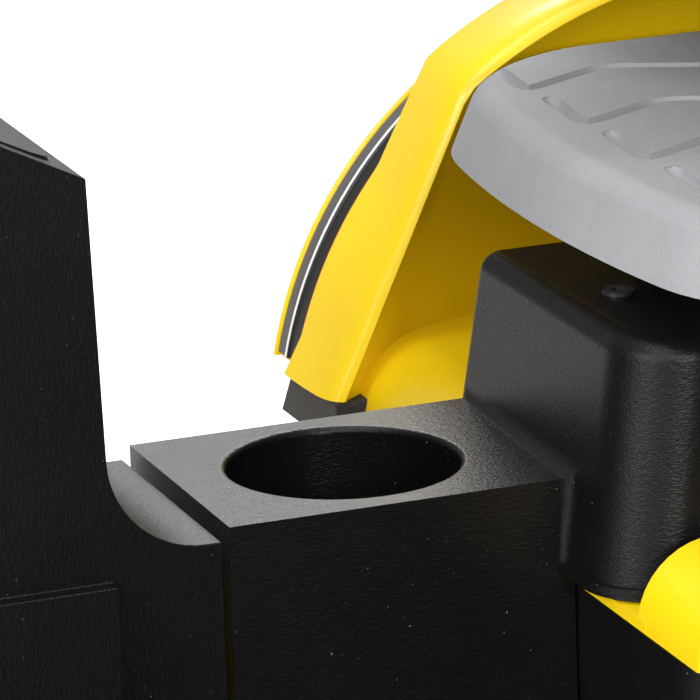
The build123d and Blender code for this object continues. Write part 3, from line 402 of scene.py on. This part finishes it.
round_edges(pedestal, is_rim, 0.0024, 4)
smooth(pedestal)
dress(pedestal, black_gloss, "black_moulding", "chassis", "console_moulding")


# ---- Outer columns of the console
# Two black plastic towers at the ends of the console, beside the cup boxes with a parting gap.
# A hollow cove joins each tower to its low shelf. The right one holds the key and the stop button.
column_out = 0.408
cove_y = 0.333
cove_z = 0.855
tower_high = 0.992
top_rise = 0.034


def slope_top(piece, inner_rise, inner_step):
    """Raise the outer edge of the top and draw it in, and set the inner edge."""
    for corner in piece.data.vertices:
        if corner.co.z > 0.99:
            outer = corner.co.y > 0.4
            corner.co.z += top_rise if outer else inner_rise
            corner.co.y += -0.004 if outer else inner_step


def is_cove(a, b):
    """The hollow corner between the low shelf and the tower."""
    here = all(abs(p.y - cove_y) < 0.0003 and abs(p.z - cove_z) < 0.0003 for p in (a, b))
    return here and abs(a.x - b.x) > 0.01


left_column = block("column_left", (box_back, 0.293, 0.742), (box_front, column_out, cove_z))
score(left_column, (0, cove_y, 0), (0, 1, 0))
pull(left_column, lambda centre, normal: normal.z > 0.9 and centre.y > cove_y, (0, 0, 0.137))
slope_top(left_column, 0.0, 0.004)
round_edges(left_column, is_cove, 0.0345, 14)
tower = block("tower", (0.700, 0.345, 0.742), (0.835, column_out, tower_high))
ledge = block("ledge", (box_back - 0.006, 0.3335, 0.742), (0.700, column_out, 0.846))
slope_top(tower, 0.0055, 0.0)
round_edges(tower, lambda a, b: is_upright(a, b, 0.1) and max(a.y, b.y) < 0.35, 0.008, 5)
combine(left_column, tower, "UNION")
combine(left_column, ledge, "UNION")
unite_flats(left_column)
break_edges(left_column, 0.003, 40)

right_column = flip_copy(left_column, "column_right")
slope = math.atan2(top_rise, 0.067)
top_y = -0.3705
top_z = 1.009
for hole_x, hole_r, hole_depth in ((0.735, 0.0123, 0.024), (0.790, 0.0053, 0.018)):
    drill = add(
        bpy.ops.mesh.primitive_cylinder_add, "drill", vertices=48, radius=hole_r,
        depth=2 * hole_depth, location=(hole_x, top_y, top_z), rotation=(-slope, 0, 0),
    )
    combine(right_column, drill, "DIFFERENCE")
black_upright = moulded_black("black_moulding_upright", (1.0, 1.0, 0.22))
for column, node in ((left_column, "column_left"), (right_column, "column_right")):
    smooth(column)
    dress(column, black_upright, "black_moulding", "chassis", node)


# ---- Spine cover
# Yellow painted plastic, bent over the middle of the console from side to side with round
# shoulders. It shows in front of the pedestal and again behind it, up to the cowl.
yellow = Finish(
    "yellow_paint_gloss", Coat_Weight=0.25, Coat_Roughness=0.10, Specular_IOR_Level=0.4
)
paint_cloud = yellow.noise(9, 3)
paint_peel = yellow.noise(420, 2)
paint_specks = yellow.step(yellow.noise(520, 1), 0.80, 0.83)
paint_base = yellow.blend(paint_cloud, (0.82, 0.550, 0.003, 1), (0.88, 0.610, 0.006, 1))
yellow.set(
    Base_Color=yellow.blend(paint_specks, paint_base, (0.42, 0.25, 0.02, 1)),
    Roughness=0.30 + paint_cloud * 0.12,
)
yellow.relief(paint_peel * 0.5 + paint_cloud * 0.5, 0.00010)

spine_half = 0.159
spine_low = 0.8195
spine_top = 0.850
spine_front = block("spine_cover", (0.580, -spine_half, spine_low), (0.6365, spine_half, spine_top))
spine_rear = block("spine_rear", (0.8065, -spine_half, 0.656), (0.936, spine_half, spine_top))
for part in (spine_front, spine_rear):
    round_edges(
        part, lambda a, b: min(a.z, b.z) > spine_top - 0.001 and abs(a.x - b.x) > 0.03, 0.0298, 10
    )
round_edges(spine_front, lambda a, b: max(a.x, b.x) < 0.5805, 0.005, 4)
neck = block("neck", (0.920, -0.118, 0.656), (1.040, 0.118, 0.812))
combine(spine_rear, neck, "UNION")
shelf = block("spine_shelf", (0.630, -spine_half, spine_low), (0.6905, spine_half, 0.8238))
combine(spine_front, shelf, "UNION")
link = block("spine_link", (0.685, -0.120, 0.8200), (0.810, 0.120, 0.8216))
combine(spine_front, link, "UNION")
combine(spine_front, spine_rear, "UNION")
smooth(spine_front, 40)
dress(spine_front, yellow, "yellow_paint", "chassis", "spine_cover")


# ---- Cowl
# A round yellow shell in front of the pedestal, turned about a line along the truck. A smooth band
# ends in a ridge on the driver's side, with a hollow recess inside the ridge.
def outline(name, points):
    """Draw a line in space: one corner, pulled out from point to point."""
    piece = add(bpy.ops.mesh.primitive_plane_add, name, size=0.001, location=points[0])
    pick(piece, "VERT", lambda corner: True)
    bpy.ops.mesh.merge(type="CENTER")
    for here, there in zip(points, points[1:]):
        step = Vector(there) - Vector(here)
        bpy.ops.mesh.extrude_region_move(TRANSFORM_OT_translate={"value": step})
    shut()
    return piece


def spun(name, section, axis_point, axis, steps=128):
    """Turn a closed section once round an axis and close it up."""
    piece = outline(name, section)
    pick(piece, "VERT", lambda corner: True)
    bpy.ops.mesh.spin(steps=steps, angle=2 * math.pi, center=axis_point, axis=axis, use_auto_merge=True)
    bpy.ops.mesh.select_all(action="SELECT")
    bpy.ops.mesh.remove_doubles(threshold=0.00002)
    bpy.ops.mesh.normals_make_consistent(inside=False)
    shut()
    return piece


cowl_axis = (0, 0, 0.798)


def off_axis(points):
    """Place (x, radius) pairs above the cowl's axis."""
    return [(x, 0, cowl_axis[2] + radius) for x, radius in points]


dome_x = 0.894
dome_long = 0.190
dome_r = 0.1923
dome_first = math.acos((0.984 - dome_x) / dome_long)
dome_steps = 26
dome_angles = [dome_first * (1 - i / dome_steps) for i in range(dome_steps + 1)]
dome = [(dome_x + dome_long * math.cos(angle), dome_r * math.sin(angle)) for angle in dome_angles]
recess = [(0.946, 0.0), (0.945, 0.04), (0.942, 0.08), (0.935, 0.112), (0.925, 0.137), (0.915, 0.1540)]
ridge = [
    (0.9075, 0.1628), (0.9053, 0.1642), (0.9048, 0.1650), (0.9052, 0.1660),
    (0.9068, 0.1677), (0.9092, 0.1692), (0.9128, 0.1704), (0.918, 0.1714),
]
band = [(0.930, 0.1724), (0.942, 0.1730), (0.950, 0.1733), (0.9522, 0.1731), (0.9530, 0.1722)]
channel = [(0.9532, 0.1698), (0.9772, 0.1698), (0.9774, 0.1716), (0.9780, 0.1724), (0.9795, 0.1722)]
cowl = spun("cowl", off_axis(recess + ridge + band + channel + dome), cowl_axis, (1, 0, 0), 160)

rim_x = 0.9048
rim_edge_x = 0.9531
rim_cap = 0.189
inner_r = 0.070
full_r = 0.155
band_r = 0.160


def straighten_rim(piece):
    """Pull the band off its circle on each side into a straight flank that leans inward."""
    for corner in piece.data.vertices:
        x, y, z = corner.co
        up = z - cowl_axis[2]
        radius = math.hypot(y, up)
        if x > rim_edge_x or radius < inner_r or up < 0:
            continue
        across = max(0.0, min(1.0, (x - rim_x) / (rim_edge_x - rim_x)))
        if radius < band_r:
            across = 0.0
        lean = 0.47 + 0.06 * across
        reach = 0.1846 + 0.0072 * across
        flank = reach / (abs(y) / radius + lean * up / radius)
        circle = 0.1672 + 0.0060 * across
        wanted = min(max(flank, circle), rim_cap)
        share = max(0.0, min(1.0, (radius - inner_r) / (full_r - inner_r)))
        factor = 1 + (wanted / circle - 1) * share
        corner.co.y = y * factor
        corner.co.z = cowl_axis[2] + up * factor


straighten_rim(cowl)
score(cowl, (0, 0, 0.8305), (0, 0, -1), use_fill=True, clear_outer=True)
smooth(cowl, 38)
dress(cowl, yellow, "yellow_paint", "chassis", "cowl")


# ---- Strip in the cowl's channel
# A pressed-in plastic strip painted in four bands side by side: a thin orange line, a black band, a
# white line that is a painted highlight along the strip, and a grey band.
strip_finish = Finish("strip_inlay")
strip_x = strip_finish.node("ShaderNodeSeparateXYZ", {}, {0: strip_finish.place()}, out=0)
strip_share = strip_finish.step(strip_x, 0.9532, 0.9772)
# The white stop from 0.53 to 0.63 is a painted highlight along the strip, not white plastic.
strip_bands_and_highlight = (
    (0.0, (0.55, 0.20, 0.01)), (0.09, (0.010, 0.010, 0.010)),
    (0.53, (0.80, 0.79, 0.77)), (0.63, (0.085, 0.085, 0.09)),
)
strip_colour = strip_finish.node("ShaderNodeValToRGB", {"stops": strip_bands_and_highlight}, {0: strip_share})
strip_finish.set(Base_Color=strip_colour, Roughness=0.32 + strip_finish.noise(900) * 0.2)
strip_finish.relief(strip_finish.noise(1400), 0.00008)
strip_section = [
    (0.9534, 0.1690), (0.9534, 0.1716), (0.9552, 0.1720), (0.9556, 0.1713),
    (0.9650, 0.1713), (0.9654, 0.1720), (0.9680, 0.1720), (0.9684, 0.1714),
    (0.9764, 0.1714), (0.9770, 0.1706), (0.9770, 0.1690), (0.9534, 0.1690),
]
strip = spun("cowl_strip", off_axis(strip_section), cowl_axis, (1, 0, 0), 160)
score(strip, (0, 0, 0.8325), (0, 0, -1), use_fill=True, clear_outer=True)
smooth(strip, 40)
dress(strip, strip_finish, "dark_trim", "chassis", "cowl_trim")


# ---- Skirts under the cowl
# Two dark grey rubber blocks that close the gap below the cowl's lower ends, one on each side,
# with a slanted front.
skirt_grey = Finish("skirt_dark_grey", Specular_IOR_Level=0.3)
skirt_grain = skirt_grey.noise(900, 3)
skirt_grey.set(
    Base_Color=skirt_grey.blend(skirt_grain, (0.018, 0.018, 0.020, 1), (0.034, 0.034, 0.037, 1)),
    Roughness=0.55 + skirt_grain * 0.15,
)
skirt_grey.relief(skirt_grain, 0.0002)
skirt = block("cowl_skirt", (0.905, 0.146, 0.8105), (0.9690, 0.1705, 0.8303))
for corner in skirt.data.vertices:
    if corner.co.x > 0.95 and corner.co.z > 0.82:
        corner.co.x -= 0.014
round_edges(skirt, whole, 0.0012, 2)
other_skirt = flip_copy(skirt, "cowl_skirt_right")
for part in (skirt, other_skirt):
    smooth(part)
dress(skirt, skirt_grey, "dark_trim", "chassis", "cowl_skirt")
dress(other_skirt, skirt_grey, "dark_trim", "chassis")


# ---- Tread pad on the pedestal
# A grey moulded rubber pad with bowed sides, screwed down on a spacer. Zigzag grooves run across
# it and turn along each side before they reach the edge.
pad_grey = Finish("grey_tread_rubber", Specular_IOR_Level=0.35)
pad_grain = pad_grey.noise(1300, 3)
pad_cloud = pad_grey.noise(30, 3)
pad_mix = pad_grain * 0.6 + pad_cloud * 0.4
pad_grey.set(
    Base_Color=pad_grey.blend(pad_mix, (0.20, 0.203, 0.213, 1), (0.33, 0.334, 0.344, 1)),
    Roughness=0.62 + pad_grain * 0.2,
)
pad_grey.relief(pad_grain, 0.00025)

pad_back = 0.588
pad_front = 0.905
pad_low = 0.938
pad_high = 0.965
pad_half = 0.149
pad_bow = 0.650
pad_middle = 0.750
corner_reach = 0.064
bow_cuts = 15
pad = block("tread_pad", (pad_back, -pad_half, pad_low), (pad_front, pad_half, pad_high))
bow_span = pad_front - pad_back - 2 * corner_reach
for cut in range(bow_cuts):
    score(pad, (pad_back + corner_reach + cut * bow_span / (bow_cuts - 1), 0, 0), (1, 0, 0))
for corner in pad.data.vertices:
    drop = pad_bow - math.sqrt(pad_bow**2 - (corner.co.x - pad_middle) ** 2)
    corner.co.y -= math.copysign(drop, corner.co.y)


def is_pad_corner(a, b):
    at_end = min(a.x, b.x) > pad_front - 0.001 or max(a.x, b.x) < pad_back + 0.001
    return is_upright(a, b, 0.01) and at_end


def is_pad_top_edge(a, b):
    """The outline of the top, without any edge that crosses it."""
    crosses = abs(a.x - b.x) < 0.0005 and abs(a.y - b.y) > 0.15
    return min(a.z, b.z) > pad_high - 0.0005 and not crosses


round_edges(pad, is_pad_corner, 0.060, 14)
unite_flats(pad, lambda centre, normal: abs(normal.z) > 0.9)
taper(pad, 0.938, 0.936, (0.7465, 0, pad_high))
round_edges(pad, is_pad_top_edge, 0.0075, 5)


def rounded(points, reach):
    """Round the corners of a line over a reach on both sides of each."""
    line = [points[0]]
    for before, corner, after in zip(points, points[1:], points[2:]):
        back, on = before - corner, after - corner
        start = corner + back.normalized() * min(reach, back.length * 0.45)
        end = corner + on.normalized() * min(reach, on.length * 0.45)
        for share in (0.0, 0.25, 0.5, 0.75, 1.0):
            left = 1 - share
            line.append(start * left**2 + corner * 2 * share * left + end * share**2)
    return line + [points[-1]]


leg_y = 0.1165
leg_reach = 0.040
zig = 0.0190
zag_width = 0.0382


def groove(first_x):
    """A cutter for one groove: a leg along each side and a zigzag between them."""
    leg = [
        (first_x + leg_reach, leg_y - 0.003, pad_high + 0.0026),
        (first_x + leg_reach - 0.006, leg_y - 0.0025, pad_high),
        (first_x - 0.002, leg_y, pad_high),
        (first_x + 0.003, leg_y - 0.010, pad_high),
    ]
    zigzag = [
        (first_x + (zig if turn % 2 else 0.0), (3 - turn) * zag_width, pad_high) for turn in range(1, 6)
    ]
    far_leg = [(x, -y, z) for x, y, z in reversed(leg)]
    points = rounded([Vector(point) for point in leg + zigzag + far_leg], 0.009)
    curve = bpy.data.curves.new("groove", "CURVE")
    curve.dimensions = "3D"
    curve.bevel_depth = 0.0034
    curve.bevel_resolution = 4
    curve.use_fill_caps = True
    spline = curve.splines.new("POLY")
    spline.points.add(len(points) - 1)
    for knot, point in zip(spline.points, points):
        knot.co = (*point, 1)
    cutter = bpy.data.objects.new("groove", curve)
    bpy.context.scene.collection.objects.link(cutter)
    bpy.ops.object.select_all(action="DESELECT")
    cutter.select_set(True)
    bpy.context.view_layer.objects.active = cutter
    bpy.ops.object.convert(target="MESH")
    cutter = bpy.context.object
    pick(cutter, "FACE", lambda centre, normal: True)
    bpy.ops.mesh.remove_doubles(threshold=0.00002)
    bpy.ops.mesh.normals_make_consistent(inside=False)
    shut()
    return cutter


for row in range(4):
    combine(pad, groove(0.837 - row * 0.0570), "DIFFERENCE", folds=True)
smooth(pad, 35)
dress(pad, pad_grey, "grey_tread", "chassis", "tread_pad")


# ---- Steel frame, rails and caster yokes
# Folded and welded plate under a black powder coat: the drive plate, side rails, battery frame,
# platform and caster brackets. The edges are broken before coating.
def plain(name, colour, roughness, grain=1200, depth=0.0001, **settings):
    """A finish of one colour with a faint cloud in it and a fine relief."""
    finish = Finish(name, **settings)
    fine = finish.noise(grain, 3)
    cloud = finish.noise(12, 4)
    dark = tuple(value * 0.8 for value in colour)
    finish.set(
        Base_Color=finish.blend(cloud, (*dark, 1), (*colour, 1)),
        Roughness=roughness - 0.06 + 0.12 * cloud + 0.06 * fine,
    )
    finish.relief(fine, depth)
    return finish


def coat(finish, names, soft=0.0):
    """Put a finish on the named nodes and, where asked, break their sharp edges."""
    for name in names.split():
        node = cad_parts[name]
        node.data.materials.clear()
        node.data.materials.append(finish.material)
        if soft:
            weld = node.modifiers.new("weld", "WELD")
            weld.merge_threshold = 0.00001
            flat = node.modifiers.new("flat", "DECIMATE")
            flat.decimate_type = "DISSOLVE"
            flat.angle_limit = math.radians(1)
            edge = node.modifiers.new("edge", "BEVEL")
            edge.width = soft
            edge.segments = 2
            edge.limit_method = "ANGLE"
            edge.angle_limit = math.radians(50)


powder_coat = plain("powder_coat", (0.018, 0.018, 0.020), 0.46, grain=900, depth=0.0002)
coat(powder_coat, "side_rail_left side_rail_right floor_plate", soft=0.002)
coat(powder_coat, "drive_plate lift_frame platform_frame caster_mounts caster_fork_left caster_fork_right")


# ---- Ground and plated steel
# Turned pins, the lift cylinder and rod, ring gear, bolts and load arms. Bare metal with a fine
# lathe grain and a thin film of grease.
coat(
    plain("bare_steel", (0.52, 0.52, 0.53), 0.34, grain=1600, Metallic=1.0),
    "slew_ring lift_cylinder ring_gear wheel_bolts steer_pinion key lift_rod load_arm_left load_arm_right",
)
# The console screws are coloured near black as painted shade, standing in for the shade inside their screw
# holes.
coat(plain("blackened_screw", (0.03, 0.03, 0.032), 0.30, Specular_IOR_Level=0.6), "console_screws")


# ---- Bumper, trims and pad spacer
# Dark through-coloured plastic and rubber, matt, with the moulded grain left as it came out.
dark_trim = plain("dark_trim", (0.028, 0.029, 0.031), 0.55, grain=700, depth=0.0003)
coat(dark_trim, "nose_bumper", soft=0.003)
coat(dark_trim, "pad_spacer")


# ---- Yellow body panels
# Steel hood over the drive and the lid over the battery, lacquered like the cowl.
coat(yellow, "body_hood battery_cover", soft=0.0025)


# ---- Lower console
# The black lower moulding that carries the columns and the cup boxes.
coat(black_upright, "console_base", soft=0.003)


# ---- Drive, pump and motors
# Sand-cast aluminium housings, left as cast, on the drive unit and in the hood.
coat(
    plain("cast_aluminium", (0.33, 0.34, 0.36), 0.55, grain=500, depth=0.0003, Metallic=0.6),
    "steer_motor pump_unit motor_controller gearbox traction_motor motor_brake",
)


# ---- Wheels
# Iron hub with reddish-brown polyurethane treads cast on to the drive, caster and load wheels.
coat(plain("iron_hub", (0.20, 0.20, 0.21), 0.5, grain=600, Metallic=0.7), "drive_hub")
coat(
    plain("polyurethane", (0.30, 0.085, 0.030), 0.42, grain=800, depth=0.0002),
    "drive_tyre caster_wheel_left caster_wheel_right load_wheel_left load_wheel_right",
)


# ---- Steering head and its controls
# Glass-filled black nylon for the column, handle and throttle, and for the battery connector.
# Soft rubber grips, push buttons, the red stop button and the display behind its dark window.
coat(
    plain("black_nylon", (0.018, 0.018, 0.019), 0.45),
    "steering_column steering_handle throttle battery_connector",
)
coat(plain("grip_rubber", (0.05, 0.05, 0.055), 0.75, grain=900, depth=0.0004), "handle_grips")
coat(plain("green_button", (0.03, 0.28, 0.09), 0.35), "horn_button lift_button lower_button")
coat(plain("red_button", (0.62, 0.015, 0.012), 0.32, Coat_Weight=0.3), "emergency_stop")
coat(plain("screen_glass", (0.012, 0.017, 0.022), 0.10, Coat_Weight=0.6), "display")


# ---- Floor mat
# Ribbed black rubber on the platform, sprung by the presence switch below it.
coat(plain("floor_rubber", (0.022, 0.022, 0.022), 0.82, grain=420, depth=0.0006), "floor_mat")


# ---- Forks, battery case and battery
# Heavy folded forks and the welded case under black paint, scuffed by loads. The battery itself
# is a dark grey plastic tray of cells.
fork_paint = Finish("fork_paint")
fork_cloud = fork_paint.noise(9, 4)
fork_scuff = fork_paint.step(fork_paint.noise(70, 5, (0.12, 1.0, 1.0)), 0.62, 0.70)
fork_base = fork_paint.blend(fork_cloud, (0.010, 0.010, 0.011, 1), (0.022, 0.022, 0.024, 1))
fork_paint.set(
    Base_Color=fork_paint.blend(fork_scuff * 0.5, fork_base, (0.11, 0.105, 0.10, 1)),
    Roughness=0.36 + fork_cloud * 0.12 + fork_scuff * 0.15,
)
fork_paint.relief(fork_paint.noise(800, 2), 0.00015)
coat(fork_paint, "battery_case fork_left fork_right", soft=0.002)
coat(plain("battery_plastic", (0.035, 0.035, 0.04), 0.5), "battery")


# ---- Backrest cushion
# A foam pad under black leathercloth on the bulkhead behind the driver. The cover is drawn tight
# over the foam, so it crowns in the middle, and its back is glued flat to the bulkhead.
leathercloth = Finish("black_leathercloth", Specular_IOR_Level=0.45)
hide_grain = leathercloth.noise(420, 4)
hide_cloud = leathercloth.noise(16, 3)
leathercloth.set(
    Base_Color=leathercloth.blend(hide_cloud, (0.014, 0.014, 0.015, 1), (0.028, 0.028, 0.030, 1)),
    Roughness=0.44 + hide_grain * 0.22,
)
leathercloth.relief(hide_grain, 0.0006)
swell_cap = 0.008
bulkhead_face = 0.1002
cushion = block("backrest_cushion", (0.1003, -0.275, 0.605), (0.138, 0.275, 0.825))
round_edges(cushion, lambda a, b: abs(a.x - b.x) > 0.02, 0.030, 6)
round_edges(cushion, lambda a, b: min(a.x, b.x) > 0.137, 0.012, 4)
apply(cushion, "REMESH", mode="VOXEL", voxel_size=0.006)
start = [corner.co.copy() for corner in cushion.data.vertices]
glued = cushion.vertex_groups.new(name="glued")
glued.add([corner.index for corner in cushion.data.vertices if corner.co.x < 0.104], 1.0, "REPLACE")
swell = cushion.modifiers.new("swell", "CLOTH")
swell.settings.use_pressure = True
swell.settings.uniform_pressure_force = 4
swell.settings.effector_weights.gravity = 0
swell.settings.vertex_group_mass = "glued"
swell.point_cache.frame_end = 20
for moment in range(1, 21):
    bpy.context.scene.frame_set(moment)
bpy.ops.object.select_all(action="DESELECT")
cushion.select_set(True)
bpy.context.view_layer.objects.active = cushion
bpy.ops.object.modifier_apply(modifier="swell")
bpy.context.scene.frame_set(1)
cushion.vertex_groups.clear()
for corner, before in zip(cushion.data.vertices, start):
    step = corner.co - before
    if step.length > swell_cap:
        corner.co = before + step.normalized() * swell_cap
    corner.co.x = max(corner.co.x, bulkhead_face)
apply(cushion, "SUBSURF", levels=1, render_levels=1)
smooth(cushion, 60)
dress(cushion, leathercloth, "pad_leather", "chassis", "backrest_pad")
